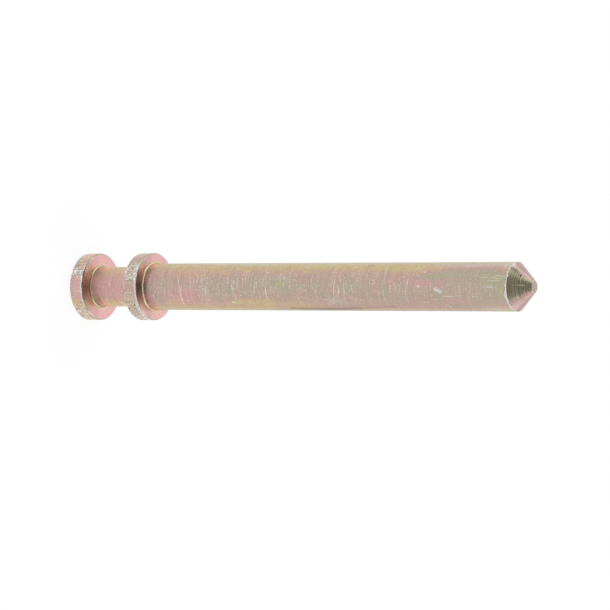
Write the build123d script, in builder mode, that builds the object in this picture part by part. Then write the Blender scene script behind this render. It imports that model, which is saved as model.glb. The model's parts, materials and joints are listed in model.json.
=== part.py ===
from build123d import *
from math import isclose, radians, tan
import os

# Pulley pin: one piece turned from round bar, with a plain shank that a pulley turns
# on, two collars of the bar's full size at one end with a necked groove between them,
# and a cone at the other end that leads it into its hole.
# Millimetres. The pin stands on its head: +Z runs along the axis to the point, and the
# origin is the centre of the head's end face.

# --- Driving dimensions -------------------------------------------------------------
shank_diameter = 8.0
shank_length = 71.2  # from the stop collar to the base of the cone

collar_diameter = 11.6  # both collars keep the size that the bar was turned to
head_thickness = 2.75
stop_thickness = 2.8

neck_diameter = 6.9
groove_width = 8.65  # between the head and the stop collar

point_angle = 90.0  # included angle of the cone
point_flat_diameter = 2.0

collar_edge_break = 0.15
root_radius = 0.25  # left by the tool's nose in each inside corner
point_edge_radius = 0.1

# --- Worked out from them -----------------------------------------------------------
shank_radius = shank_diameter / 2
collar_radius = collar_diameter / 2
neck_radius = neck_diameter / 2
point_radius = point_flat_diameter / 2
point_length = (shank_radius - point_radius) / tan(radians(point_angle / 2))

groove_start = head_thickness
groove_end = groove_start + groove_width
stop_top = groove_end + stop_thickness
cone_base = stop_top + shank_length
overall_length = cone_base + point_length


# --- The pin ------------------------------------------------------------------------
with BuildPart() as pin:
    with BuildSketch(Plane.XZ):
        with BuildLine():
            Polyline(
                (0, 0),
                (collar_radius, 0),
                (collar_radius, groove_start),
                (neck_radius, groove_start),
                (neck_radius, groove_end),
                (collar_radius, groove_end),
                (collar_radius, stop_top),
                (shank_radius, stop_top),
                (shank_radius, cone_base),
                (point_radius, overall_length),
                (0, overall_length),
                close=True,
            )
        make_face()

        # Corners of the half profile, named by what the lathe leaves there.
        collar_corners = vertices().filter_by(lambda v: isclose(v.X, collar_radius))
        neck_corners = vertices().filter_by(lambda v: isclose(v.X, neck_radius))
        shank_root = vertices().filter_by(
            lambda v: isclose(v.X, shank_radius) and isclose(v.Y, stop_top)
        )
        point_corner = vertices().filter_by(lambda v: isclose(v.X, point_radius))

        chamfer(collar_corners, collar_edge_break)
        fillet(neck_corners + shank_root, root_radius)
        fillet(point_corner, point_edge_radius)
    revolve(axis=Axis.Z)

pin.part.label = "pin"

os.makedirs("parts", exist_ok=True)
export_step(pin.part, "parts/pin.step")

print(f"overall length {overall_length:.2f} mm, volume {pin.part.volume:.1f} mm3")
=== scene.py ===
"""Pulley pin, turned from steel bar, zinc plated and passivated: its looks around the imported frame.

The pin stands on its head, as in the frame: +Z runs along its axis from the head to the point.
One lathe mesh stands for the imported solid. It takes its sizes from the frame and adds what making,
plating and handling left on the pin: turning rings, worn collar edges, nicks, dents and the burr at
the foot of the cone. Places on it are given as a height in millimetres and a turn in degrees about
the axis: turn 0 faces -Y, and +90 faces +X.
"""

import json
import math

import bpy
import numpy as np
from mathutils import Matrix, Vector


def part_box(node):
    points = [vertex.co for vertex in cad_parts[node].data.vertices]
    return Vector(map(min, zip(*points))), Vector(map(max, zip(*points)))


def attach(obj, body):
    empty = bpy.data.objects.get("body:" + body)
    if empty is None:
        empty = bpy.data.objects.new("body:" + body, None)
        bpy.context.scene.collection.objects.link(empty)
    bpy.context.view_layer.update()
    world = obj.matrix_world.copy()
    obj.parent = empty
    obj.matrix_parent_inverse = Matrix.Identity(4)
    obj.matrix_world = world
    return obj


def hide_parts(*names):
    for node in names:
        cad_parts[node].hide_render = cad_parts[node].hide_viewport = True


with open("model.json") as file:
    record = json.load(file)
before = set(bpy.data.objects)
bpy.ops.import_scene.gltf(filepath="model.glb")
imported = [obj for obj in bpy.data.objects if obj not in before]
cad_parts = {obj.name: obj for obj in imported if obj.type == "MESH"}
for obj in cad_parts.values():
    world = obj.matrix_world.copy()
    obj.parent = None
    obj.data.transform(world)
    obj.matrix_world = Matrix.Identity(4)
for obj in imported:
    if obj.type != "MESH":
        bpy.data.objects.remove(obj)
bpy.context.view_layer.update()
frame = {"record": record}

# ---- Sizes, in millimetres ----
MM = 0.001
mounts = {mount["name"]: mount for mount in frame["record"]["mounts"]}
_, pin_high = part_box("pin")

COLLAR_R = pin_high.x / MM
LENGTH = pin_high.z / MM
SHANK_R = mounts["shank"]["dims"]["r_mm"]
groove = mounts["neck_groove"]
NECK_R = groove["dims"]["r_mm"]
GROOVE_MID = groove["pos_m"][2] / MM
GROOVE_LOW = GROOVE_MID - groove["dims"]["length_mm"] / 2
GROOVE_HIGH = GROOVE_MID + groove["dims"]["length_mm"] / 2
STOP_TOP = mounts["stop_shoulder"]["pos_m"][2] / MM

EDGE_BREAK = 0.15
HEAD_INNER_BREAK = 0.2  # this edge is broken a little wider
ROOT_RADIUS = 0.25
POINT_FLAT_R = 1.0
POINT_EDGE_R = 0.1
SOFT = 0.04  # the plating rounds every other edge this much
CONE_BASE = LENGTH - (SHANK_R - POINT_FLAT_R)  # the cone's sides stand at 45 degrees

SIDES = 224  # columns round the axis

# The outline from the centre of the head's end face to the centre of the point. Each corner is its
# radius, height and rounding, the name and rows of that rounding, then the stretch after it.
OUTLINE = [
    (0, 0, 0, "", 0, "end_face", 12),
    (COLLAR_R - EDGE_BREAK, 0, SOFT, "head_low_edge", 3, "head_low_edge", 3),
    (COLLAR_R, EDGE_BREAK, SOFT, "head_rim", 3, "head_rim", 26),
    (COLLAR_R, GROOVE_LOW - HEAD_INNER_BREAK, SOFT, "head_rim", 3, "head_high_edge", 3),
    (COLLAR_R - HEAD_INNER_BREAK, GROOVE_LOW, SOFT, "head_high_edge", 3, "head_face", 14),
    (NECK_R, GROOVE_LOW, ROOT_RADIUS, "neck_root", 6, "neck", 32),
    (NECK_R, GROOVE_HIGH, ROOT_RADIUS, "stop_root", 6, "stop_back", 12),
    (COLLAR_R - EDGE_BREAK, GROOVE_HIGH, SOFT, "stop_low_edge", 3, "stop_low_edge", 3),
    (COLLAR_R, GROOVE_HIGH + EDGE_BREAK, SOFT, "stop_rim", 3, "stop_rim", 26),
    (COLLAR_R, STOP_TOP - EDGE_BREAK, SOFT, "stop_rim", 3, "stop_high_edge", 3),
    (COLLAR_R - EDGE_BREAK, STOP_TOP, SOFT, "stop_high_edge", 3, "stop_face", 12),
    (SHANK_R, STOP_TOP, ROOT_RADIUS, "shank_root", 6, "shank", 128),
    (SHANK_R, CONE_BASE, SOFT, "burr", 4, "cone", 88),
    (POINT_FLAT_R, LENGTH, POINT_EDGE_R, "tip_edge", 4, "tip", 6),
    (0, LENGTH, 0, "", 0, "", 0),
]
SUPPORT = 0.05  # rows this close to each corner keep the flats flat
SUPPORTED = 1.0  # on stretches longer than this


def unit(vector):
    return vector / np.linalg.norm(vector)


def turned_profile():
    """Every row's (radius, height) and the name of its stretch."""
    corners = np.array([corner[:2] for corner in OUTLINE], float)
    rows, row_names = [], []

    def add(point, name):
        rows.append(point)
        row_names.append(name)

    start = corners[0]
    for i in range(1, len(OUTLINE)):
        corner, rounding, round_name, round_rows = corners[i], *OUTLINE[i][2:5]
        before = unit(corner - corners[i - 1])
        inset = 0.0
        if i < len(OUTLINE) - 1:
            after = unit(corners[i + 1] - corner)
            bend = math.acos(np.clip(before @ after, -1, 1))
            inset = rounding * math.tan(bend / 2)
        name, count = OUTLINE[i - 1][5:7]
        end = corner - before * inset
        length = np.linalg.norm(end - start)
        shares = np.linspace(0, 1, count + 1)[:-1]
        if length > SUPPORTED:
            shares = np.sort(np.append(shares, [SUPPORT / length, 1 - SUPPORT / length]))
        for share in shares:
            add(start + (end - start) * share, name)
        if i == len(OUTLINE) - 1:
            add(end, name)
            break
        for k in range(round_rows):
            swing = bend * (k / round_rows)
            side = unit(after - before * (before @ after))
            from_end = before * math.sin(swing) + side * (1 - math.cos(swing))
            add(end + from_end * rounding, round_name)
        start = corner + after * inset
    return np.array(rows), np.array(row_names)


# ---- Values over the mesh's grid of rows and columns ----
rng = np.random.default_rng(11)

points, names = turned_profile()
radius, height = points.T
step = np.hypot(np.diff(radius), np.diff(height))
along = np.concatenate([[0], np.cumsum(step)])  # distance along the outline
tangent = np.gradient(points, along, axis=0)
tangent /= np.linalg.norm(tangent, axis=1)[:, None]
outward = np.stack([tangent[:, 1], -tangent[:, 0]], 1)

turn = (np.arange(SIDES) + 0.5) * 2 * math.pi / SIDES - math.pi
turn_deg = np.degrees(turn)
row_along, col_turn = along[:, None], turn[None, :]
row_height, row_radius = height[:, None], radius[:, None]
cone_foot = along[names == "burr"].mean()


def stretch(*wanted):
    """1 on rows whose stretch is one of those named, 0 elsewhere."""
    return np.isin(names, wanted).astype(float)[:, None]


def near(distance, reach):
    """1 at no distance, falling smoothly to 0 at about twice the reach."""
    return np.exp(-((distance / reach) ** 2))


def degrees_apart(centre):
    """Each column's degrees from centre, by the shorter way round."""
    return ((turn_deg - centre + 180) % 360 - 180)[None, :]


def facing(centre, reach):
    """1 on the side that faces this turn, falling to 0 at about twice reach degrees from it."""
    return near(degrees_apart(centre), reach)


def round_table(table):
    """A value for each column, read from given (degrees, value) pairs."""
    degrees, values = zip(*table)
    return np.interp(turn_deg, degrees, values, period=360)[None, :]


def patch(at_height, at_turn, half_height, half_mm_round):
    """A soft oval blob, 1 at its middle, on every stretch at that height."""
    off_round = np.radians(degrees_apart(at_turn)) * row_radius
    return near(row_height - at_height, half_height) * near(off_round, half_mm_round)


def waves(pitch, lobes, count):
    """Smooth random relief about 0, closed round the axis: pitch in mm along, lobes round."""
    total = np.zeros((len(along), SIDES))
    for _ in range(count):
        waviness = rng.normal(0, 1) * 2 * math.pi / pitch
        lobe = rng.integers(0, lobes + 1)
        total += np.cos(row_along * waviness + col_turn * lobe + rng.uniform(0, 2 * math.pi))
    return total / math.sqrt(count / 2)


def ripple(lobes, count):
    """Smooth random variation round the axis, about 0, the same on every row."""
    total = np.zeros((1, SIDES))
    for _ in range(count):
        lobe = rng.integers(1, lobes + 1)
        total += np.cos(col_turn * lobe + rng.uniform(0, 2 * math.pi))
    return total / math.sqrt(count / 2)


# ---- Wear and relief ----
# Width in mm of the band worn to bare metal on the low or high end of a stretch, round the axis
WORN_WIDTH = {
    ("head_rim", "low"): [(-90, 0.1), (-30, 0.1), (20, 0.06), (60, 0.14), (180, 0.15)],
    ("head_rim", "high"): [
        (-80, 0), (-42, 0.04), (-28, 0.28), (-10, 0.28), (8, 0.2), (20, 0.3), (34, 0.22), (46, 0.06),
        (80, 0), (170, 0.12),
    ],
    ("stop_rim", "low"): [(-60, 0.08), (-20, 0.14), (30, 0.08), (180, 0.12)],
    ("stop_rim", "high"): [
        (-85, 0.2), (-58, 0.1), (-46, 0.25), (-36, 0.55), (-22, 0.55), (-8, 0.3), (5, 0.15), (15, 0.16),
        (24, 0.35), (36, 0.5), (55, 0.45), (80, 0.6), (180, 0.4),
    ],
    ("tip_edge", "low"): [(-90, 0), (-10, 0), (10, 0.2), (40, 0.2), (55, 0), (180, 0.05)],
}
BURR_WORN = 0.19  # width of the bright line at the foot of the cone
BURR_WORN_MORE = (0.4, 18, 26)  # how much wider it is on one side: share, turn, degrees of reach
NOT_WORN = 9.0  # a distance in mm that no wear reaches

# Dents deep enough to be shape: height, turn, half height, half mm round, depth
DENTS = [
    (72.75, 8.7, 0.6, 0.4, 0.05), (69.12, -1.7, 0.35, 0.25, 0.03), (59.04, -58.5, 0.5, 0.2, 0.04),
    (32.52, 41.9, 0.35, 0.25, 0.03), (1.1, -24, 0.5, 0.3, 0.06), (1.9, -19, 0.4, 0.25, 0.06),
    (0.7, -30, 0.35, 0.25, 0.05), (2, -36, 0.3, 0.4, 0.05), (1.7, 44, 0.5, 0.35, 0.06),
    (0.9, 52, 0.4, 0.3, 0.06), (2.2, 38, 0.3, 0.3, 0.05), (11.9, -18.4, 0.25, 0.25, 0.06),
    (12.9, -30, 0.5, 0.3, 0.06), (12.3, -41, 0.3, 0.3, 0.05), (13.3, 31, 0.3, 0.5, 0.05),
    (12, 33, 0.35, 0.3, 0.05), (12.4, 58, 0.5, 0.3, 0.04), (13, 150, 0.4, 0.5, 0.05),
    (12.2, -120, 0.5, 0.4, 0.05), (1.2, 120, 0.5, 0.4, 0.05), (1.6, -140, 0.4, 0.5, 0.05),
    (40, 130, 0.5, 0.3, 0.04), (63, -150, 0.6, 0.3, 0.04), (24, 170, 0.4, 0.4, 0.03),
    (86.9, -7, 0.9, 0.1, 0.055),
]
DENTED = ("head_rim", "stop_rim", "shank", "cone")
CONE_RING_PITCH = 0.385
CONE_RING_DEPTH = 0.024
CONE_SHARP = (-4, 36)  # the rings are sharp on this side: turn, degrees of reach
CONE_RUBBED = 0.1  # the share of their depth that is left all round
BURR_HEIGHT, BURR_WIDTH = 0.03, 0.1
DRAWN_WAVES = 0.004  # depth of the slow waves that drawing left on the bar
RIM_WAVES = 0.014  # depth of the rougher ones on the rims
EDGE_WEAR, EDGE_WEAR_WIDTH = 0.03, 0.16  # how deep the worn edges lie, and how far in


def worn_edges():
    """Distance in mm from the nearest worn edge, and how wide that edge is worn."""
    distance = np.full((len(along), SIDES), NOT_WORN)
    width = np.zeros((len(along), SIDES))
    for (name, end), table in WORN_WIDTH.items():
        rows = names == name
        reach = along - along[rows][0] if end == "low" else along[rows][-1] - along
        here = np.where(rows, reach, NOT_WORN)[:, None]
        share = round_table(table)
        closer = here - share < distance - width
        distance = np.where(closer, here, distance)
        width = np.where(closer, share, width)
    more, at_turn, reach = BURR_WORN_MORE
    below = np.abs(cone_foot - along)
    here = np.where(np.isin(names, ("shank", "burr")), below, NOT_WORN)[:, None]
    share = BURR_WORN * (1 + 0.25 * ripple(24, 10) + more * facing(at_turn, reach))
    closer = here < distance
    return np.where(closer, here, distance), np.where(closer, share, width)


def cone_groove():
    """The tool's feed marks on the cone: 0 on the sharp crests, up to 1 in the round grooves."""
    ring = (along - cone_foot) / CONE_RING_PITCH + 0.12 * np.sin(along * 5.1)
    depth = 0.75 + 0.25 * np.sin(along * 2.3)
    return (depth * np.abs(np.sin(math.pi * ring)))[:, None]


def relief():
    """How far each vertex stands out along the outline's outward direction, in mm."""
    rims = stretch("head_rim", "stop_rim")
    out = -CONE_RING_DEPTH * stretch("cone") * cone_groove() * (1 + 0.35 * waves(2.0, 9, 16))
    out *= CONE_RUBBED + (1 - CONE_RUBBED) * facing(*CONE_SHARP)
    out += DRAWN_WAVES * waves(2.5, 6, 12) * stretch("shank", "neck")
    out += RIM_WAVES * waves(0.9, 22, 30) * rims
    out -= EDGE_WEAR * near(edge, EDGE_WEAR_WIDTH) * np.clip(0.6 + 0.5 * ripple(30, 16), 0, 2) * rims
    out += BURR_HEIGHT * near(row_height - CONE_BASE, BURR_WIDTH) * (0.7 + 0.4 * ripple(34, 14))
    dented = stretch(*DENTED)
    for *place, deep in DENTS:
        out -= deep * patch(*place) * dented
    return out


edge, worn = worn_edges()
standing = relief()
across = np.minimum(row_radius + standing * outward[:, :1], COLLAR_R)
up = np.clip(row_height + standing * outward[:, 1:], 0, LENGTH)
across[0], across[-1] = 0, 0

# ---- Film thickness: 0 is bare bright zinc, then yellow, orange, pink, mauve, beige and green ----
FILM_BASE = {
    "end_face": 0.53, "head_low_edge": 0.5, "head_rim": 0.57, "head_high_edge": 0.8, "head_face": 0.52,
    "neck_root": 0.96, "neck": 0.55, "stop_root": 0.96, "stop_back": 0.52, "stop_low_edge": 0.5,
    "stop_rim": 0.74, "stop_high_edge": 0.8, "stop_face": 0.53, "shank_root": 0.3, "shank": 0.7,
    "burr": 0.1, "cone": 0.62, "tip_edge": 0.7, "tip": 0.74,
}
# What each side of the pin adds to the film, as (degrees, change) round the axis
STREAKS = {
    "shank": [
        (-90, -0.5), (-75, -0.5), (-66, -0.48), (-54, -0.36), (-42, -0.28), (-34, -0.2), (-27, -0.1),
        (-14, -0.02), (0, 0), (14, 0), (27, -0.04), (34, -0.12), (42, -0.22), (54, -0.3), (66, -0.42),
        (75, -0.5), (90, -0.54), (120, -0.35), (150, -0.1), (180, 0), (210, -0.18), (240, -0.4),
    ],
    "neck": [
        (-90, -0.32), (-70, -0.3), (-55, -0.24), (-43, -0.14), (-25, -0.05), (0, 0.03), (25, -0.02),
        (43, -0.13), (55, -0.22), (70, -0.28), (90, -0.32), (130, -0.15), (180, 0), (230, -0.2),
    ],
    "head_rim": [
        (-75, -0.1), (-58, -0.06), (-44, -0.12), (-30, -0.05), (-15, 0.02), (0, 0.04), (16, 0.02),
        (24, -0.24), (34, -0.24), (42, -0.12), (52, -0.18), (75, -0.2), (100, -0.2), (180, 0),
    ],
    "stop_rim": [(-80, -0.1), (-50, 0), (-10, 0.04), (6, 0), (20, 0.04), (50, 0), (80, -0.1), (180, 0)],
    "head_face": [
        (-150, -0.04), (-64, 0.02), (-48, 0), (-36, -0.14), (-24, -0.14), (0, -0.1), (24, -0.14),
        (36, -0.14), (48, 0), (64, 0), (135, -0.1), (180, -0.04),
    ],
    "stop_face": [(-90, 0.04), (-62, 0.04), (-38, 0.08), (-12, 0), (40, 0.05), (90, 0.05), (180, 0)],
    "cone": [
        (-66, 0), (-54, 0.2), (-40, 0.33), (-20, 0.34), (15, 0.34), (30, 0.28), (40, 0.08), (50, 0),
        (120, 0.05), (180, 0.3), (240, 0.05),
    ],
}
# Colour patches on the stretches in PATCHED: height, turn, half height, half mm round, change of film
PATCHED = ("shank", "head_rim", "stop_rim", "cone", "neck")
PATCHES = [
    (3.6, -48, 0.7, 0.9, 0.42), (3.6, 48, 0.8, 1.1, 0.4), (1.9, 28, 0.5, 0.5, 0.22),
    (2.1, -52, 0.4, 0.5, 0.2), (0.6, -40, 0.4, 0.5, 0.15), (12.6, 8, 0.5, 0.5, -0.16),
    (12.2, -22, 0.5, 0.6, -0.14), (13.2, 42, 0.4, 0.6, -0.12), (14.9, 3, 0.6, 1.4, 0.2),
    (15.2, -50, 0.7, 0.8, 0.45), (15.2, 50, 0.7, 0.8, 0.4), (15.6, -17, 0.5, 0.7, -0.18),
    (15.2, 33, 0.9, 0.8, -0.16), (17.6, 38, 0.7, 0.7, 0.34), (18.8, -3, 0.8, 0.8, 0.3),
    (21, 10, 4, 2.4, -0.11), (22.8, 10, 1.2, 0.6, -0.1), (24.3, -24, 2.2, 0.8, -0.12),
    (27.5, -5, 1.2, 0.6, 0.04), (26.9, 40, 0.8, 0.6, 0.1), (30.5, -36, 2, 0.5, -0.06),
    (34.9, 38, 2.2, 0.7, -0.27), (38.6, 38, 3, 0.7, -0.14), (36.5, -22, 2.4, 0.7, 0.05),
    (42, -8, 1.7, 0.9, 0.24), (41, -2, 4.5, 1.2, 0.06), (44, -42, 5, 0.5, -0.05),
    (48.5, -56, 10, 0.5, -0.08), (50.5, -28, 1.6, 0.5, -0.08), (48, 34, 1.6, 0.6, -0.1),
    (53, 46, 4, 0.8, 0.2), (58, 31, 1.5, 0.6, -0.1), (56.2, -4, 1.2, 0.7, 0.08),
    (62.5, 30, 2.2, 1, 0.12), (61.5, -45, 2, 0.6, -0.1), (64.8, -42, 0.8, 0.5, -0.1),
    (67.8, -49, 1.3, 0.6, -0.16), (66.5, -14, 2.6, 0.6, -0.1), (70.3, -6, 1.4, 0.5, -0.14),
    (71.8, -24, 1.5, 0.6, 0.3), (74.6, -31, 2.4, 0.7, 0.28), (75.4, -43, 1.2, 0.5, 0.2),
    (80.6, -38, 4.4, 1, 0.36), (83.2, -16, 2.6, 1.3, 0.2), (84, 10, 1.8, 1.8, 0.18),
    (81, 36, 3.5, 0.9, 0.16), (78, -62, 6, 0.5, 0.32), (57, 50, 4.5, 0.9, 0.12),
    (65, 53, 5, 1.1, 0.22), (76, 56, 7, 1.3, 0.28), (52, 68, 8, 0.5, 0.22),
    (84.4, -38, 0.5, 0.35, -0.55), (85.9, -52, 0.5, 1, 0.3), (30, 140, 5, 1.5, 0.15),
    (52, 190, 6, 1.8, 0.2), (70, 150, 5, 1.3, -0.15), (62, 230, 5, 1.2, 0.2),
]
# Bands of film that run round the shank and the neck from a root: mm from the root, change of film
SHANK_BANDS = [
    (0, -0.2), (0.2, 0), (0.5, 0.12), (0.8, -0.06), (1.3, -0.08), (1.8, 0.06), (2.6, 0.02), (3.5, 0),
]
NECK_BANDS = [(0, 0.4), (0.12, 0.35), (0.3, -0.05), (0.8, 0)]
# Where thick film covers the foot of the shank: turn, half mm round
ROOT_STAINS = [(-46, 1), (46, 1)]
ROOT_STAIN_FILM, ROOT_STAIN_HEIGHT = 0.6, 0.5
# The collars' faces run yellow beside the neck and the shank: how wide, change of film and of rosiness
BESIDE_ROOT, BESIDE_ROOT_FILM, BESIDE_ROOT_ROSY = 0.4, -0.15, -0.6

# How rosy the film is on each stretch
ROSY = {
    "head_face": 0.85, "stop_face": 0.85, "stop_back": 0.8, "end_face": 0.8, "head_low_edge": 0.5,
    "stop_low_edge": 0.5, "cone": 0.25,
}
# What each side of the pin adds to that, round the axis
ROSY_STREAKS = {
    "head_face": [
        (-62, 0), (-48, -0.1), (-36, -0.38), (-14, -0.35), (0, -0.7), (14, -0.4), (36, -0.42), (48, -0.15),
        (62, 0),
    ],
    "stop_face": [(-62, 0), (-40, -0.3), (-15, -0.2), (15, -0.2), (40, -0.3), (62, 0)],
    "cone": [(-70, 0.3), (-50, 0.05), (-40, -0.2), (30, -0.2), (44, 0.2), (70, 0.32), (180, 0)],
}
# More and less rosy patches: height, turn, half height, half mm round, change of rosiness
ROSY_PATCHES = [
    (7.6, 0, 8, 2.3, 0.85), (12.8, 0, 0.8, 2.8, -0.45), (1.4, -2, 0.9, 1.9, 0.38),
    (15.2, -14, 0.5, 1.2, 0.4), (15.4, -2, 0.5, 1, -0.35), (15.6, 28, 0.6, 1, 0.6),
    (22.8, 24, 3.3, 1.7, 0.7), (24.5, -24, 1.6, 0.8, 0.2), (51, -30, 2, 0.7, 0.2),
    (66.5, -14, 2.6, 0.7, 0.35), (70.3, -6, 1.7, 0.55, 0.65), (77, 40, 3, 0.7, 0.2),
    (66, 56, 9, 1, 0.3), (79, -62, 6, 0.9, 0.35), (24, -36, 4, 0.5, 0.25),
    (36, -33, 7, 0.5, 0.2),
]

# How bright each stretch is, partly painted light: the turned faces are smoother than the drawn shank
# and painted brighter for the light they catch, and the shank's root is a painted highlight
LUSTRE_AND_PAINTED_LIGHT = {
    "head_face": 1.3, "stop_face": 1.2, "stop_back": 1.18, "end_face": 1.15, "neck": 1.01,
    "head_rim": 1.04, "stop_rim": 0.97, "head_high_edge": 1.02, "shank_root": 1.9,
}
# What each side of the pin adds to that, round the axis: painted shade and painted highlights, such
# as the dark middles of the collars' faces, the darker sides of the shank and the bright front of the cone
PAINTED_LIGHT_STREAKS = {
    "shank": [
        (-90, -0.34), (-78, -0.22), (-70, -0.09), (-60, -0.03), (-45, 0), (45, 0), (60, -0.05),
        (70, -0.1), (78, -0.22), (90, -0.34), (120, 0), (240, 0),
    ],
    "head_face": [
        (-75, 0.08), (-64, 0.08), (-56, -0.06), (-46, -0.26), (-36, -0.15), (-24, -0.08), (-12, -0.4),
        (0, -0.8), (12, -0.5), (24, -0.19), (36, -0.27), (46, -0.21), (56, 0), (64, 0.08), (75, 0.08),
    ],
    "stop_face": [
        (-75, 0.12), (-64, 0.08), (-56, -0.14), (-46, -0.28), (-36, -0.04), (-24, -0.34), (-12, -0.6),
        (-4, -0.86), (6, -0.88), (18, -0.5), (28, -0.2), (36, -0.06), (46, 0.02), (56, 0.13), (64, 0.24),
        (75, 0.24),
    ],
    "stop_rim": [
        (-80, 0.18), (-64, 0.16), (-54, 0.04), (-36, 0.16), (-12, 0.15), (0, 0.02), (12, 0.1), (24, 0.22),
        (36, 0), (46, 0.08), (58, 0.2), (70, 0.18), (100, 0.08), (180, 0.05),
    ],
    "head_rim": [
        (-75, 0.12), (-64, 0.22), (-56, 0.2), (-44, 0.03), (-30, 0), (0, 0.03), (24, 0), (46, -0.06),
        (75, 0), (180, 0),
    ],
    "shank_root": [(-62, -0.9), (-44, -0.45), (-30, 0.05), (30, 0.15), (44, -0.4), (62, -0.9), (180, -0.9)],
    "head_high_edge": [
        (-60, -0.2), (-36, -0.2), (-26, 0.2), (-10, 0.85), (12, 0.85), (28, 0.2), (40, -0.2), (60, -0.2),
        (180, -0.1),
    ],
    "stop_high_edge": [(-60, -0.15), (-42, -0.1), (-20, 0.4), (20, 0.5), (40, 0), (180, 0)],
    "cone": [
        (-120, 0), (-66, -0.31), (-52, -0.34), (-40, 0.3), (-28, 1.2), (0, 1.65), (20, 1.3), (32, 0.25),
        (44, -0.4), (66, -0.42), (120, 0), (180, 0.1),
    ],
}
# Painted shade in the cone's grooves: how much darker they are all round, and more on the side at
# this turn and reach
CONE_GROOVE_SHADE, CONE_FRONT_GROOVE_SHADE, CONE_SHADED_SIDE = 0.02, 1.35, (-5, 38)
# Painted shade in a line below the burr: how dark, how far below the cone and how wide, in mm
BURR_SHADE, SHADE_BELOW, SHADE_WIDTH = 0.2, 0.32, 0.09
# Painted shade on the stop collar's face and root beside the shank: how far from the shank and how
# wide, in mm, then each one's turn, degrees of reach and how dark
SHADE_FROM_SHANK, SHADE_BESIDE_SHANK_WIDTH = 0.3, 0.5
SHADED_SIDES_BESIDE_SHANK = [(46, 18, 0.25), (-46, 18, 0.12)]
# Painted highlights and painted shade in spots on any stretch, such as glints on the cone and shade by
# the roots: height, turn, half height, half mm round, change
PAINTED_LIGHT_SPOTS = [
    (3.5, 0, 0.9, 3, 0.5), (3.6, -46, 0.6, 0.7, -0.14), (3.7, 46, 0.6, 0.9, -0.14),
    (3.3, -68, 0.9, 0.9, -0.2), (3.3, 68, 0.9, 0.9, -0.25), (9.5, -56, 2.2, 1, 0.16),
    (9.5, 56, 2, 0.8, 0.1), (8.8, 0, 2.2, 1, -0.07), (14.7, 0, 0.8, 3.6, 0.4),
    (16.6, 14, 0.6, 1.3, -0.13), (14.7, -68, 0.9, 1, -0.2), (14.7, 68, 0.9, 1, -0.35),
    (15.8, 0, 0.4, 3, -0.1), (50, 70, 9, 0.9, -0.22), (35, 38, 2, 0.7, -0.08),
    (84.4, -38, 0.5, 0.4, -0.16), (85.9, -48, 0.7, 0.8, -0.3), (86.84, -44, 0.16, 0.14, -0.8),
    (85.3, 44, 0.12, 0.14, -0.6), (86.9, -7, 0.9, 0.16, 0.8), (85.75, 2, 0.3, 1.6, -0.3),
    (86.75, 14, 0.3, 0.8, 0.25), (87.9, 4, 0.45, 0.7, -0.22), (86.55, 16, 0.06, 1.1, 1.1),
    (87.05, -14, 0.06, 0.9, 1.2), (86.1, 8, 0.05, 1.3, 0.6), (87.5, 10, 0.05, 0.8, 0.6),
]
# How much the film varies within each stretch
UNEVEN = {"shank": 1.0, "head_rim": 0.8, "stop_rim": 0.8, "neck": 0.8, "cone": 0.4}
UNEVEN_ELSEWHERE = 0.35
# How much of the film is rubbed thin, on a stretch and in patches: partly real wear, partly painted
# sheen on the cone and along the shank's sides
RUBBED_AND_SHEEN = {"cone": 0.03, "head_high_edge": 0.16}
RUBBED_AND_SHEEN_PATCHES = [
    (1.4, -2, 0.9, 1.9, 0.14), (1.2, 52, 1.5, 2, 0.18), (85.8, -52, 0.6, 1.2, -0.14),
    (78, -62, 7, 0.6, 0.35), (84.8, -64, 0.8, 1, 0.5), (50, -76, 22, 0.4, 0.2),
    (34, -72, 6, 0.4, 0.2), (82.5, 64, 3, 0.8, 0.25), (32.6, 42, 0.2, 0.2, 0.7),
    (27.2, 12, 0.9, 1.2, 0.2), (41.5, -22, 2.4, 0.6, 0.16), (53.5, 38, 2, 0.6, 0.16),
]
# How rough each stretch is, and how strongly the tool's marks show on it
MATT = {
    "shank": 0.33, "head_rim": 0.3, "stop_rim": 0.3, "neck": 0.36, "cone": 0.24, "head_face": 0.3,
    "stop_face": 0.28,
}
MATT_ELSEWHERE = 0.22
NECK_FOOT_MATT = 0.2  # how much rougher the neck is beside the head
TOOLED = {"shank": 1.0, "head_rim": 0.5, "stop_rim": 0.5, "neck": 1.7, "cone": 1.2}
TOOLED_ELSEWHERE = 0.8
# How strongly turned lines and specks show in the colour
LINED = {"shank": 0.16, "neck": 0.3, "cone": 0.1}
LINED_ELSEWHERE = 0.08
SPECKLED = {"shank": 0.13, "head_rim": 0.2, "stop_rim": 0.2, "cone": 0.12}
SPECKLED_ELSEWHERE = 0.05
NICKED_SPECKLED = 0.6  # how many more specks lie among nicks
# The film's variation and its lines fade this much at the shank's sides
SIDES_EVEN, SIDES_PLAIN = 0.35, 0.55
# How thick the nicks lie on the rims, round the axis, and on the shank in patches
RIM_NICKS = {
    "head_rim": [
        (-75, 0.25), (-52, 0.4), (-40, 0.6), (-30, 1.05), (-23, 1.15), (-17, 0.85), (-11, 0.15),
        (0, 0.05), (24, 0.05), (36, 0.8), (56, 0.95), (80, 0.5), (180, 0.4),
    ],
    "stop_rim": [
        (-75, 0.15), (-50, 0.4), (-38, 0.84), (-14, 0.9), (-7, 0.4), (2, 0.2), (14, 0.35), (22, 0.3),
        (30, 0.8), (60, 0.7), (90, 0.4), (180, 0.5),
    ],
}
SHANK_NICKS = [(85, -68, 0.7, 0.6, 1), (74, 56, 0.7, 0.4, 1), (72.3, -50, 0.6, 0.3, 1)]
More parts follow.
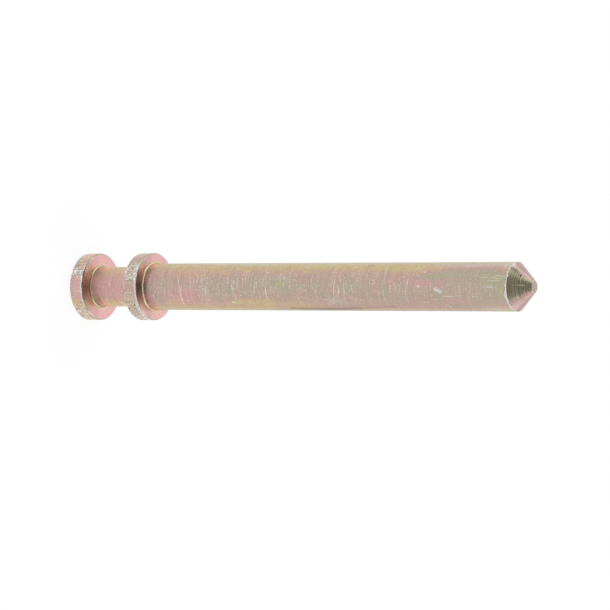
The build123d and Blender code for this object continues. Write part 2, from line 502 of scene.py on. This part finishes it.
# Where the fine ticks that run round the pin lie thickest: height, turn, half height, half mm round
TICKED = [
    (26.4, -10, 0.6, 1.8), (20.2, -28, 1.2, 0.8), (33, 10, 1.4, 1.6), (39.5, 0, 0.6, 2.6),
    (44.4, -11, 1.6, 1.4), (46.4, 10, 1.6, 1.2), (49, -2, 1.4, 1.2), (55, 8, 1.2, 1.4),
    (52, -36, 2, 0.9), (57.5, 22, 1.4, 1), (60.5, 34, 1.2, 0.7), (36.5, -16, 2.6, 1),
    (66.9, 14, 0.5, 1.8), (84.6, -58, 1, 0.8), (64.1, -50, 1, 0.8), (7.6, -10, 1.4, 0.8),
    (22, 170, 1, 1.6), (35, 195, 1.4, 1.4), (47, 160, 1, 2), (61, 185, 1.4, 1.4),
]
# Where the fine dashes that run along it do
DASHED = [
    (27.6, 13, 0.8, 1.2), (27.2, 42, 0.6, 0.6), (32, 16, 2.6, 0.5), (51.6, 35, 1.6, 0.7),
    (46.4, 10, 1.6, 1.2), (57, 26, 1.6, 0.8), (73.3, 56, 0.9, 0.5), (77.6, 52, 1, 0.5),
    (79.5, -28, 1, 0.5), (79.5, 24, 0.8, 0.5), (72, 36, 2.5, 0.6), (83, -14, 1.6, 1),
]
# What these places add to the noise that groups the ticks and the dashes
TICKED_MORE, DASHED_MORE, ELSEWHERE_MORE = 0.08, -0.22, 0.03
# How bright the ticks are on the shank: everywhere, on sides (turn, degrees of reach, change), towards
# its end (height, mm of reach, change) and among dashes. Then on the neck's front, as on a side
TICKS_BRIGHT, TICKS_AMONG_DASHES = 0.14, 0.2
TICKS_SIDES, TICKS_END = [(-2, 34, 0.26), (180, 55, 0.2)], (85, 22, -0.1)
TICKS_NECK = (0, 40, 0.42)
SHANK_SIDES = (65, 25)  # degrees from the front, and of reach
NECK_FOOT = 1.6  # mm up from the head


def by_stretch(values, elsewhere=0.0, streaks=()):
    """A grid with each named stretch at its own value, plus what its sides add round the axis."""
    grid = np.full((len(along), SIDES), float(elsewhere))
    for name, value in values.items():
        grid[names == name] = value
    for name, table in dict(streaks).items():
        grid += stretch(name) * round_table(table)
    return grid


def add_patches(grid, patches, on):
    """Add (height, turn, half height, half mm round, amount) blobs to a grid, on the stretches named."""
    for *place, amount in patches:
        grid += amount * patch(*place) * stretch(*on)
    return grid


def beside_roots():
    """1 on the collars' faces where they meet the neck and the shank, falling to 0 away from there."""
    by_neck = near(row_radius - NECK_R - ROOT_RADIUS, BESIDE_ROOT) * stretch("head_face")
    return by_neck + near(row_radius - SHANK_R - ROOT_RADIUS, BESIDE_ROOT) * stretch("stop_face")


def film_thickness():
    """The film over the whole pin, before the material's own fine variation."""
    film = by_stretch(FILM_BASE, streaks=STREAKS)
    for name, foot, bands in (("shank", STOP_TOP, SHANK_BANDS), ("neck", GROOVE_LOW, NECK_BANDS)):
        at, change = zip(*bands)
        film += stretch(name) * np.interp(row_height - foot - ROOT_RADIUS, at, change)
    for at_turn, half_round in ROOT_STAINS:
        stain = patch(STOP_TOP, at_turn, ROOT_STAIN_HEIGHT, half_round) * stretch("shank", "shank_root")
        film += ROOT_STAIN_FILM * stain
    film += BESIDE_ROOT_FILM * beside_roots()
    return np.clip(add_patches(film, PATCHES, PATCHED), 0, 1)


def rosiness():
    """How rosy the film is."""
    rosy = by_stretch(ROSY, streaks=ROSY_STREAKS)
    rosy += BESIDE_ROOT_ROSY * beside_roots()
    return np.clip(add_patches(rosy, ROSY_PATCHES, PATCHED), 0, 1)


def brightness_and_painted_light():
    """How bright the surface is under its film: its own brightness with painted highlights and shade."""
    light_and_shade = by_stretch(LUSTRE_AND_PAINTED_LIGHT, 1, PAINTED_LIGHT_STREAKS)
    # Painted shade in the cone's grooves
    light_and_shade -= stretch("cone") * cone_groove() * (CONE_GROOVE_SHADE + CONE_FRONT_GROOVE_SHADE * facing(*CONE_SHADED_SIDE))
    # Painted shade below the burr
    light_and_shade -= BURR_SHADE * stretch("shank") * near(row_height - CONE_BASE + SHADE_BELOW, SHADE_WIDTH)
    # Painted shade on the stop collar's face beside the shank, on two sides
    shade_beside_shank = near(row_radius - SHANK_R - SHADE_FROM_SHANK, SHADE_BESIDE_SHANK_WIDTH) * stretch("stop_face", "shank_root")
    light_and_shade -= shade_beside_shank * sum(how * facing(*side) for *side, how in SHADED_SIDES_BESIDE_SHANK)
    # Painted highlights and painted shade in spots
    return add_patches(light_and_shade, PAINTED_LIGHT_SPOTS, set(names))


def nick_density():
    """How thick the small nicks lie."""
    return add_patches(by_stretch({}, streaks=RIM_NICKS), SHANK_NICKS, ("shank", "burr"))


def tick_strength():
    """How bright the ticks are. On the shank they fade towards its sides and its far end."""
    end_height, end_reach, at_end = TICKS_END
    strength = TICKS_BRIGHT + at_end * near(row_height - end_height, end_reach)
    for *side, brighter in TICKS_SIDES:
        strength = strength + brighter * facing(*side)
    for place in DASHED:
        strength = strength + TICKS_AMONG_DASHES * patch(*place)
    *neck_front, on_neck = TICKS_NECK
    return strength * stretch("shank") + on_neck * stretch("neck") * facing(*neck_front)


def tick_places():
    """Highest where the fine ticks lie thickest, and less than 0 where the dashes do."""
    places = np.full((len(along), SIDES), ELSEWHERE_MORE)
    for listed, more in ((TICKED, TICKED_MORE), (DASHED, DASHED_MORE)):
        for place in listed:
            places += more * patch(*place)
    return places


sides_at, sides_reach = SHANK_SIDES
shank_sides = stretch("shank") * near(np.abs(degrees_apart(0)) - sides_at, sides_reach)
neck_foot = stretch("neck") * near(row_height - GROOVE_LOW, NECK_FOOT)

ATTRIBUTES = {
    "film": film_thickness(),
    "rosy": rosiness(),
    "edge": edge,
    "worn": worn,
    "rubbed_and_sheen": add_patches(by_stretch(RUBBED_AND_SHEEN), RUBBED_AND_SHEEN_PATCHES, PATCHED),
    # Each stretch's own brightness, with painted highlights and painted shade
    "lustre_and_painted_light": brightness_and_painted_light(),
    "uneven": by_stretch(UNEVEN, UNEVEN_ELSEWHERE) * (1 - SIDES_EVEN * shank_sides),
    "matt": by_stretch(MATT, MATT_ELSEWHERE) + NECK_FOOT_MATT * neck_foot,
    "tooled": by_stretch(TOOLED, TOOLED_ELSEWHERE),
    "lined": by_stretch(LINED, LINED_ELSEWHERE) * (1 - SIDES_PLAIN * shank_sides),
    "nicks": nick_density(),
    "speckled": by_stretch(SPECKLED, SPECKLED_ELSEWHERE) + NICKED_SPECKLED * nick_density(),
    "ticks": tick_places(),
    "ticked": tick_strength(),
}


def on_vertices(grid):
    """A grid's values in the order of the mesh's vertices: the rings, then the two poles."""
    width = grid.shape[2:]
    rings = grid[1:-1].reshape(-1, *width)
    return np.concatenate([rings, grid[:1, :1].reshape(-1, *width), grid[-1:, :1].reshape(-1, *width)])


# The strips laid flat for baking, in the outline's order: the first stretch of each, the radius it is
# laid flat at, and its corner on the sheet. The sheet's side and the places are in mm.
SHEET = 73.6
STRIPS = [
    ("end_face", COLLAR_R, 0.7, 27.0),
    ("neck_root", NECK_R, 13.5, 27.0),
    ("stop_root", COLLAR_R, 25.0, 27.0),
    ("shank", SHANK_R, 0.7, 0.7),
    ("burr", SHANK_R, 35.0, 27.0),
]


def bake_places():
    """Each face corner's place on the baking sheet, in the order of the mesh's faces."""
    firsts = [int(np.argmax(names == name)) for name, *_ in STRIPS]

    def place(face_row, row, column):
        strip = np.searchsorted(firsts, face_row, side="right") - 1
        _, flat_radius, left, bottom = STRIPS[strip]
        from_left = left + along[row] - along[firsts[strip]]
        from_bottom = bottom + flat_radius * 2 * math.pi * column / SIDES
        return from_left / SHEET, from_bottom / SHEET

    last = len(along) - 1
    lower = [[place(row, row, side) for row in range(last)] for side in range(SIDES + 1)]
    upper = [[place(row, row + 1, side) for row in range(last)] for side in range(SIDES + 1)]
    places = []
    for side in range(SIDES):
        after = side + 1
        for row in range(1, last - 1):
            places += [lower[side][row], lower[after][row], upper[after][row], upper[side][row]]
        places += [place(0, 0, side + 0.5), upper[after][0], upper[side][0]]
        places += [lower[side][last - 1], lower[after][last - 1], place(last - 1, last, side + 0.5)]
    return np.array(places, np.float32)


def lathe_mesh():
    """The closed mesh: SIDES columns, a pole at each end, and its attributes."""
    x, y = across * np.sin(turn), -across * np.cos(turn)
    vertices = on_vertices(np.stack([x, y, up], -1)) * MM
    rings = len(along) - 2
    low_pole, high_pole = rings * SIDES, rings * SIDES + 1
    faces = []
    for side in range(SIDES):
        after = (side + 1) % SIDES
        for low in range(0, (rings - 1) * SIDES, SIDES):
            faces.append((low + side, low + after, low + SIDES + after, low + SIDES + side))
        top = (rings - 1) * SIDES
        faces += [(low_pole, after, side), (top + side, top + after, high_pole)]
    mesh = bpy.data.meshes.new("turned_pin")
    mesh.from_pydata(vertices.tolist(), [], faces)
    mesh.polygons.foreach_set("use_smooth", np.ones(len(mesh.polygons), bool))
    for name, grid in ATTRIBUTES.items():
        layer = mesh.attributes.new(name, "FLOAT", "POINT")
        layer.data.foreach_set("value", on_vertices(grid).astype(np.float32))
    # Unrolled place for patterns: a circle round the axis, and the distance along the outline
    circle = np.ones((len(along), 1))
    unroll = [circle * SHANK_R * np.sin(turn), circle * -SHANK_R * np.cos(turn), row_along + 0 * across]
    layer = mesh.attributes.new("unroll", "FLOAT_VECTOR", "POINT")
    layer.data.foreach_set("vector", on_vertices(np.stack(unroll, -1)).astype(np.float32).ravel())
    mesh.uv_layers.new(name="OFBake").data.foreach_set("uv", bake_places().ravel())
    mesh.update()
    return mesh


# ---- The passivated zinc ----
class Nodes:
    """Short calls for building a node tree. A number or a socket may feed any input."""

    def __init__(self, tree):
        self.tree = tree

    def add(self, kind, inputs=(), **settings):
        node = self.tree.nodes.new(kind)
        for key, value in settings.items():
            setattr(node, key, value)
        for key, value in dict(inputs).items():
            socket = node.inputs[key]
            if isinstance(value, bpy.types.NodeSocket):
                self.tree.links.new(value, socket)
            else:
                socket.default_value = value
        return node

    def math(self, operation, a, b=0.0, clamp=False):
        node = self.add("ShaderNodeMath", {0: a, 1: b}, operation=operation, use_clamp=clamp)
        return node.outputs[0]

    def vector(self, operation, a, b=(0, 0, 0), out="Vector"):
        node = self.add("ShaderNodeVectorMath", {0: a, 1: b}, operation=operation)
        return node.outputs[out]

    def scaled(self, vector, share):
        node = self.add("ShaderNodeVectorMath", {0: vector, "Scale": share}, operation="SCALE")
        return node.outputs[0]

    def plus(self, a, b):
        return self.math("ADD", a, b)

    def minus(self, a, b):
        return self.math("SUBTRACT", a, b)

    def times(self, a, b):
        return self.math("MULTIPLY", a, b)

    def swing(self, value, amount):
        """value, which varies about a half, made to vary about 0 by half of amount."""
        return self.times(self.minus(value, 0.5), amount)

    def most(self, *values):
        """The largest of several values."""
        largest = values[0]
        for value in values[1:]:
            largest = self.math("MAXIMUM", largest, value)
        return largest

    def attribute(self, name, out="Fac"):
        return self.add("ShaderNodeAttribute", attribute_name=name).outputs[out]

    def smooth(self, value, start, end, low=0.0, high=1.0):
        """value between start and end becomes low to high, smoothly, and stays there outside."""
        inputs = {0: value, 1: start, 2: end, 3: low, 4: high}
        return self.add("ShaderNodeMapRange", inputs, interpolation_type="SMOOTHSTEP").outputs[0]

    def noise(self, at, name):
        """The noise of this name in NOISES."""
        per_mm_round, per_mm_along, detail, rough = NOISES[name]
        place = self.vector("MULTIPLY", at, (per_mm_round, per_mm_round, per_mm_along))
        inputs = {"Vector": place, "Scale": 1.0, "Detail": detail, "Roughness": rough}
        return self.add("ShaderNodeTexNoise", inputs).outputs[0]

    def mix(self, factor, a, colour):
        """a turned to a fixed colour by factor."""
        inputs = {0: factor, 6: a, 7: (*colour, 1)}
        return self.add("ShaderNodeMix", inputs, data_type="RGBA").outputs[2]

    def ramp(self, factor, stops):
        """A colour read from (position, colour) stops."""
        node = self.add("ShaderNodeValToRGB", {0: factor})
        elements = node.color_ramp.elements
        elements[0].position, elements[0].color = stops[0][0], (*stops[0][1], 1)
        elements[1].position, elements[1].color = stops[-1][0], (*stops[-1][1], 1)
        for position, colour in stops[1:-1]:
            elements.new(position).color = (*colour, 1)
        return node.outputs[0]


def emptied(owner):
    """The cleared node tree of a new material or world."""
    owner.use_nodes = True
    owner.node_tree.nodes.clear()
    return Nodes(owner.node_tree)


def add_object(name, data):
    """A new object in the scene."""
    ob = bpy.data.objects.new(name, data)
    bpy.context.scene.collection.objects.link(ob)
    return ob


# Each noise's features to a millimetre round the pin and along its outline, its detail and roughness
NOISES = {
    "clouds": (0.45, 0.45, 3, 0.55), "bands": (0.12, 1.3, 3, 0.6), "blotches": (1.4, 1.6, 2, 0.5),
    "grain": (4, 6, 2, 0.7), "ragged_fine": (3.2, 3.2, 3, 0.7), "ragged_wide": (1.0, 1.0, 2, 0.5),
    "nick_spots": (2.4, 3.2, 3, 0.75), "nick_dashes": (5.0, 0.9, 2, 0.6),
    "tick_groups": (2.4, 2.4, 2, 0.5), "ticks": (0.2, 6.5, 1, 0.5), "dashes": (6.5, 0.2, 1, 0.5),
    "turned_lines": (0.2, 3.6, 2, 0.6), "drawn_lines": (5.5, 0.2, 1, 0.5), "specks": (5.5, 4.5, 1, 0.5),
    "turning": (0.2, 3.6, 3, 0.7), "pits": (6, 6, 3, 0.7), "roughness": (3, 3, 3, 0.6),
}
# How far the film's thickness swings with each of its noises
FILM_SWINGS = {"clouds": 0.34, "bands": 0.26, "blotches": 0.5, "grain": 0.22}
# Where each pattern's noise starts to show, and where it shows in full
EDGE_SHOWS, NICK_SHOWS, NICKED_SHOWS = (-0.02, 0.04), (0.0, 0.05), (0.0, 0.2)
TICK_SHOWS, TICK_GROUP_SHOWS, DASH_GROUP_SHOWS = (0.48, 0.74), (0.5, 0.66), (0.46, 0.32)
SPECK_SHOWS = (0.33, 0.67)
EDGE_STRAYS, EDGE_BACK = 2.4, 1.4  # a worn edge's reach: its noise times this, less this
NICK_LEVEL, NICK_EASE = 0.8, 0.28  # what the nicks' noises must pass, and how much less among nicks
TURNED_LINES, DRAWN_LINES = 2.0, 0.8
ROUGHNESS_SWING = 0.14
# The film's colour by its thickness
FILM_COLOURS = [
    (0.0, (0.61, 0.59, 0.52)), (0.12, (0.60, 0.54, 0.38)), (0.25, (0.585, 0.47, 0.262)),
    (0.38, (0.57, 0.422, 0.265)), (0.46, (0.55, 0.395, 0.295)), (0.52, (0.535, 0.375, 0.30)),
    (0.60, (0.505, 0.362, 0.30)), (0.70, (0.475, 0.373, 0.303)), (0.80, (0.455, 0.388, 0.297)),
    (0.90, (0.437, 0.393, 0.277)), (1.0, (0.43, 0.402, 0.248)),
]
ROSE = (0.60, 0.335, 0.335)
BARE_ZINC = (0.66, 0.67, 0.64)
BUMP_HEIGHT = 0.006  # mm, for a bump of 1
PIT_BUMP, WORN_BUMP = 0.4, -0.6  # what the pits and the worn places add to the bump
MOST_BARE = 0.92  # a worn place keeps a trace of film
DARK_MARK = -0.36  # how a dark mark changes the brightness

# Scratches and bare spots that show singly: chains of (height, turn), then half their width in mm
SHANK_SCRATCHES = [
    ([(21.3, -27), (21.9, -6), (22.1, 1)], 0.07),
    ([(22.1, 1), (22.1, 13), (22.1, 30), (22.06, 47.7)], 0.13), ([(27.5, 3), (27.2, 20)], 0.08),
    ([(27.1, 27), (26.8, 55)], 0.08), ([(26.4, -27), (26.5, -8)], 0.08),
    ([(31.9, -16), (31.9, -8)], 0.1), ([(32.6, -9), (33.0, 15), (33.6, 34)], 0.07),
    ([(35.3, -38), (35.4, -9)], 0.08), ([(39.3, -38), (39.5, -5)], 0.06),
    ([(39.55, 2), (39.6, 34)], 0.065), ([(53.1, -19), (52.8, 33)], 0.07),
    ([(62.1, -63), (62.6, -26)], 0.08), ([(62.6, -26), (62.7, -6)], 0.06),
    ([(67.0, -9), (66.6, 14), (66.9, 38)], 0.07), ([(73.6, 23.2), (75.8, 23.6)], 0.09),
    ([(81.0, 0.5), (83.6, 2.8)], 0.06), ([(72.8, -70), (73.6, -64)], 0.08),
    ([(77.0, -55), (79.5, -56)], 0.08), ([(80.8, -60), (84.6, -62)], 0.08),
    ([(83.0, -26), (85.2, -25)], 0.06), ([(26.2, -50), (26.8, -28)], 0.06),
    ([(72.3, 5.5), (73.15, 12.0)], 0.48), ([(69.0, -3), (69.25, 0)], 0.2),
    ([(32.35, 40.5), (32.6, 42)], 0.34), ([(18.45, -16.8), (18.55, -16.4)], 0.13),
    ([(38.8, -20.5), (38.85, -19.5)], 0.16), ([(39.4, -37), (39.6, -36)], 0.14),
    ([(69.7, -37), (70.1, -36.5)], 0.14), ([(71.5, -57.6), (71.8, -57.2)], 0.14),
    ([(56.4, -54.6), (56.6, -54.2)], 0.12),
]
RIM_SCRATCHES = [
    ([(0.9, 7.5), (2.5, 7.0)], 0.08), ([(0.3, 18), (1.3, 17.5)], 0.06),
    ([(0.4, -44), (2.2, -43)], 0.07), ([(0.3, -36), (1.4, -35.5)], 0.08),
    ([(0.5, -52), (1.5, -51)], 0.07), ([(11.7, 10), (13.4, 10.5)], 0.07),
    ([(11.9, -19), (11.95, -17.5)], 0.14),
]
# Dark marks: painted shade at the edge of a nick, a dark line along the shank's side, and painted
# shade in short dashes beside the nicks on the head's rim
SHANK_DARK_MARKS = [
    ([(58.6, -58.2), (59.7, -58.9)], 0.2),
    ([(43.4, 63.5), (46.4, 66.6), (49.9, 67.2), (53.7, 65.8), (56.8, 62.2)], 0.6),
    ([(56.8, 62.5), (59.8, 57.7), (64.0, 54.3)], 0.17),
]
RIM_DARK_MARKS = [
    ([(0.6, -56), (1.5, -55.5)], 0.12), ([(0.8, -47.5), (2.0, -47)], 0.11),
    ([(0.4, -40), (1.3, -39.5)], 0.11), ([(0.7, -31.5), (2.4, -31)], 0.1),
]


def stroke_group():
    """A node group: 1 on a line that starts at Start and runs along Run, falling to 0 at Width from it.

    Scale is one over the square of the line's length.
    """
    group = bpy.data.node_groups.new("stroke", "ShaderNodeTree")
    for name in ("Here", "Start", "Run"):
        group.interface.new_socket(name, in_out="INPUT", socket_type="NodeSocketVector")
    for name in ("Scale", "Width"):
        group.interface.new_socket(name, in_out="INPUT", socket_type="NodeSocketFloat")
    group.interface.new_socket("Mark", in_out="OUTPUT", socket_type="NodeSocketFloat")
    n = Nodes(group)
    given = n.add("NodeGroupInput").outputs
    reach = n.vector("SUBTRACT", given["Here"], given["Start"])
    share = n.vector("DOT_PRODUCT", reach, given["Run"], "Value")
    share = n.math("MULTIPLY", share, given["Scale"], clamp=True)
    off_line = n.vector("SUBTRACT", reach, n.scaled(given["Run"], share))
    mark = n.smooth(n.vector("LENGTH", off_line, out="Value"), given["Width"], 0.0)
    n.add("NodeGroupOutput", {"Mark": mark})
    return group


def unrolled_place(n):
    """Where a point is, in mm: its height as x, and its distance round the axis from turn 0 as y."""
    place = n.add("ShaderNodeTexCoord").outputs["Object"]
    x, y, z = n.add("ShaderNodeSeparateXYZ", {0: place}).outputs
    angle = n.math("ARCTAN2", x, n.times(y, -1.0))
    reach = n.math("SQRT", n.plus(n.times(x, x), n.times(y, y)))
    around = n.times(angle, reach)
    inputs = {0: n.times(z, 1 / MM), 1: n.times(around, 1 / MM)}
    return n.add("ShaderNodeCombineXYZ", inputs).outputs[0]


def stroke_marks(n, here, *stroke_lists):
    """Every stroke of the lists, as one mask. The first list lies on the shank, the second on the rims."""
    group = bpy.data.node_groups["stroke"]
    total = 0.0
    for strokes, on_radius in zip(stroke_lists, (SHANK_R, COLLAR_R)):
        for chain, width in strokes:
            ends = [np.array([z, math.radians(at_turn) * on_radius, 0]) for z, at_turn in chain]
            for start, end in zip(ends, ends[1:]):
                run = end - start
                inputs = {"Here": here, "Start": start, "Run": run, "Width": width}
                inputs["Scale"] = 1 / (run @ run)
                mark = n.add("ShaderNodeGroup", inputs, node_tree=group).outputs[0]
                total = n.math("MAXIMUM", total, mark)
    return total


def film_colour(n, at):
    """The passivate's colour: its film's thickness with clouds, bands and grain, through the ramp."""
    clouds, bands, blotches, grain = (n.swing(n.noise(at, name), far) for name, far in FILM_SWINGS.items())
    swings = n.plus(n.plus(clouds, bands), n.plus(blotches, grain))
    film = n.plus(n.attribute("film"), n.times(swings, n.attribute("uneven")))
    colour = n.mix(n.attribute("rosy"), n.ramp(film, FILM_COLOURS), ROSE)
    # Scaled by each stretch's own brightness and by the painted highlights and painted shade
    return n.scaled(colour, n.attribute("lustre_and_painted_light"))


def worn_metal(n, at):
    """Where the film is worn off, from 0 to 1: along the edges and in nicks."""
    ragged = n.plus(n.noise(at, "ragged_fine"), n.noise(at, "ragged_wide"))
    ragged = n.minus(n.times(ragged, EDGE_STRAYS), EDGE_BACK)
    reach = n.times(n.attribute("worn"), ragged)
    edge_bare = n.smooth(n.minus(reach, n.attribute("edge")), *EDGE_SHOWS)

    # Where nicks lie thick, their noises break through at a lower level
    nicks = n.attribute("nicks")
    level = n.minus(NICK_LEVEL, n.times(nicks, NICK_EASE))
    spots = n.minus(n.noise(at, "nick_spots"), level)
    dashes = n.minus(n.noise(at, "nick_dashes"), level)
    nick_bare = n.smooth(n.most(spots, dashes), *NICK_SHOWS)
    nick_bare = n.times(nick_bare, n.smooth(nicks, *NICKED_SHOWS))

    return n.most(edge_bare, nick_bare)


def fine_ticks(n, at):
    """Fine bright ticks that run round the pin in places, and along it in others, from 0 to 1."""
    place = n.plus(n.noise(at, "tick_groups"), n.attribute("ticks"))
    ticks = n.smooth(n.noise(at, "ticks"), *TICK_SHOWS)
    ticks = n.times(ticks, n.smooth(place, *TICK_GROUP_SHOWS))
    dashes = n.smooth(n.noise(at, "dashes"), *TICK_SHOWS)
    return n.most(ticks, n.times(dashes, n.smooth(place, *DASH_GROUP_SHOWS)))


def passivated_zinc():
    """Yellow passivate over zinc on turned steel."""
    material = bpy.data.materials.new("passivated_zinc")
    n = emptied(material)
    stroke_group()
    at = n.attribute("unroll", "Vector")
    here = unrolled_place(n)
    worn_off = worn_metal(n, at)
    scratches = stroke_marks(n, here, SHANK_SCRATCHES, RIM_SCRATCHES)
    ticks = n.times(fine_ticks(n, at), n.attribute("ticked"))
    bare = n.times(n.most(worn_off, scratches), MOST_BARE)
    # The rubbed share holds real wear and painted sheen
    bare = n.most(bare, ticks, n.attribute("rubbed_and_sheen"))
    colour = n.mix(bare, film_colour(n, at), BARE_ZINC)

    # Turned and drawn lines, fine specks, light and dark, bright ticks and dark marks
    turned = n.swing(n.noise(at, "turned_lines"), TURNED_LINES)
    drawn = n.swing(n.noise(at, "drawn_lines"), DRAWN_LINES)
    lines = n.times(n.plus(turned, drawn), n.attribute("lined"))
    # Fine specks, lighter and darker: painted glints and painted shade in tiny pits
    specks = n.smooth(n.noise(at, "specks"), *SPECK_SHOWS, -0.5, 0.5)
    specks = n.times(specks, n.attribute("speckled"))
    # Dark marks, mostly painted shade beside nicks
    dark = n.times(stroke_marks(n, here, SHANK_DARK_MARKS, RIM_DARK_MARKS), DARK_MARK)
    marks = n.plus(n.plus(specks, lines), n.plus(ticks, dark))
    colour = n.scaled(colour, n.plus(marks, 1.0))

    turning = n.times(n.noise(at, "turning"), n.attribute("tooled"))
    pits = n.times(n.noise(at, "pits"), PIT_BUMP)
    heights = n.plus(n.plus(turning, pits), n.times(worn_off, WORN_BUMP))
    bump = n.add("ShaderNodeBump", {"Height": heights, "Strength": 1.0, "Distance": BUMP_HEIGHT * MM})
    roughness = n.plus(n.attribute("matt"), n.swing(n.noise(at, "roughness"), ROUGHNESS_SWING))

    inputs = {"Base Color": colour, "Roughness": roughness, "Normal": bump.outputs[0], "Metallic": 1.0}
    shader = n.add("ShaderNodeBsdfPrincipled", inputs)
    n.add("ShaderNodeOutputMaterial", {"Surface": shader.outputs[0]})
    return material


turned_pin = add_object("turned_pin", lathe_mesh())
turned_pin.data.materials.append(passivated_zinc())
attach(turned_pin, "root")
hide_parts("pin")


# ---- Studio: white floor, white surroundings with dim parts, and soft lamps ----
# Places are in metres
CAMERA_AT = Vector((0.0, -0.43959, 0.32468))
CAMERA_AIM = Vector((0.003064, 0.0, 0.04484))
CAMERA_LENS = 183.54
FLOOR_R = 3.0
FLOOR_GLOW = 0.9  # how much of the floor's look is its own white
DIFFUSE_LEVEL = 0.95  # the surroundings' level for light that scatters
LAMPS_AIM = Vector((0, 0, 0.04))
# The dim parts of the room: azimuth and elevation, where each starts and ends to fade, its level
DIM_PARTS = [(-10, 78, 36, 48, 0.2), (0, 32.5, 8, 22, 0.62), (0, 32.5, 20, 130, 0.72)]


def seen_directly(n):
    """1 for camera, glossy and transmission rays, 0 for diffuse and shadow rays."""
    rays = n.add("ShaderNodeLightPath").outputs
    return n.most(rays["Is Camera Ray"], rays["Is Glossy Ray"], rays["Is Transmission Ray"])


def make_floor():
    """A large white disc that keeps a faint shadow."""
    angles = np.linspace(0, 2 * math.pi, 96, endpoint=False)
    ring = [(FLOOR_R * math.cos(a), FLOOR_R * math.sin(a), 0) for a in angles]
    mesh = bpy.data.meshes.new("floor")
    mesh.from_pydata(ring, [], [tuple(range(len(ring)))])
    material = bpy.data.materials.new("white_floor")
    n = emptied(material)
    matt = n.add("ShaderNodeBsdfDiffuse", {"Color": (0.9, 0.9, 0.9, 1)})
    glow = n.add("ShaderNodeEmission", {"Color": (1, 1, 1, 1), "Strength": 1.0})
    share = n.times(seen_directly(n), FLOOR_GLOW)
    mixed = n.add("ShaderNodeMixShader", {0: share, 1: matt.outputs[0], 2: glow.outputs[0]})
    n.add("ShaderNodeOutputMaterial", {"Surface": mixed.outputs[0]})
    mesh.materials.append(material)
    return add_object("floor", mesh)


def compass(azimuth, elevation):
    """A direction by azimuth, 0 towards -Y and 90 towards +X, and elevation, in degrees."""
    a, e = math.radians(azimuth), math.radians(elevation)
    return math.sin(a) * math.cos(e), -math.cos(a) * math.cos(e), math.sin(e)


def make_world():
    """White all round to the eye and in reflections, but for the dim parts of the room."""
    world = bpy.data.worlds.new("studio")
    bpy.context.scene.world = world
    n = emptied(world)
    direction = n.vector("NORMALIZE", n.add("ShaderNodeTexCoord").outputs["Generated"])
    around = 1.0
    for azimuth, elevation, inner, outer, level in DIM_PARTS:
        facing = n.vector("DOT_PRODUCT", direction, compass(azimuth, elevation), "Value")
        fade = [math.cos(math.radians(angle)) for angle in (outer, inner)]
        around = n.times(around, n.smooth(facing, *fade, 1.0, level))
    rays = n.add("ShaderNodeLightPath").outputs
    reflected = n.most(rays["Is Glossy Ray"], rays["Is Transmission Ray"])
    level = n.add("ShaderNodeMix", {0: reflected, 2: DIFFUSE_LEVEL, 3: around}).outputs[0]
    level = n.add("ShaderNodeMix", {0: rays["Is Camera Ray"], 2: level, 3: 1.0}).outputs[0]
    sky = n.add("ShaderNodeBackground", {"Color": (1, 1, 1, 1), "Strength": level})
    n.add("ShaderNodeOutputWorld", {"Surface": sky.outputs[0]})


def look_at(place, target, up_side):
    """A matrix that puts a camera or lamp at place, looking at target with up_side on top."""
    back = (place - target).normalized()
    right = up_side.cross(back).normalized()
    facing = Matrix((right, back.cross(right), back)).transposed()
    return Matrix.Translation(place) @ facing.to_4x4()


def add_lamp(name, place, size, watts):
    """A soft square lamp aimed at the pin."""
    lamp = bpy.data.lights.new(name, "AREA")
    lamp.shape, lamp.size, lamp.energy = "SQUARE", size, watts
    add_object(name, lamp).matrix_world = look_at(Vector(place), LAMPS_AIM, Vector((0, 0, 1)))


def add_camera():
    """The photograph's view: the pin stands, and the camera lies on its side."""
    data = bpy.data.cameras.new("camera")
    data.lens, data.sensor_width = CAMERA_LENS, 36.0
    data.clip_start, data.clip_end = 0.01, 10.0
    ob = add_object("camera", data)
    ob.matrix_world = look_at(CAMERA_AT, CAMERA_AIM, Vector((-1, 0, 0)))
    bpy.context.scene.camera = ob


make_floor()
make_world()
add_lamp("key", (-0.9, 0.7, 1.0), 1.2, 5.0)
add_lamp("fill", (1.0, 0.6, 0.9), 1.2, 4.5)
add_camera()
bpy.context.scene.view_settings.view_transform = "Standard"
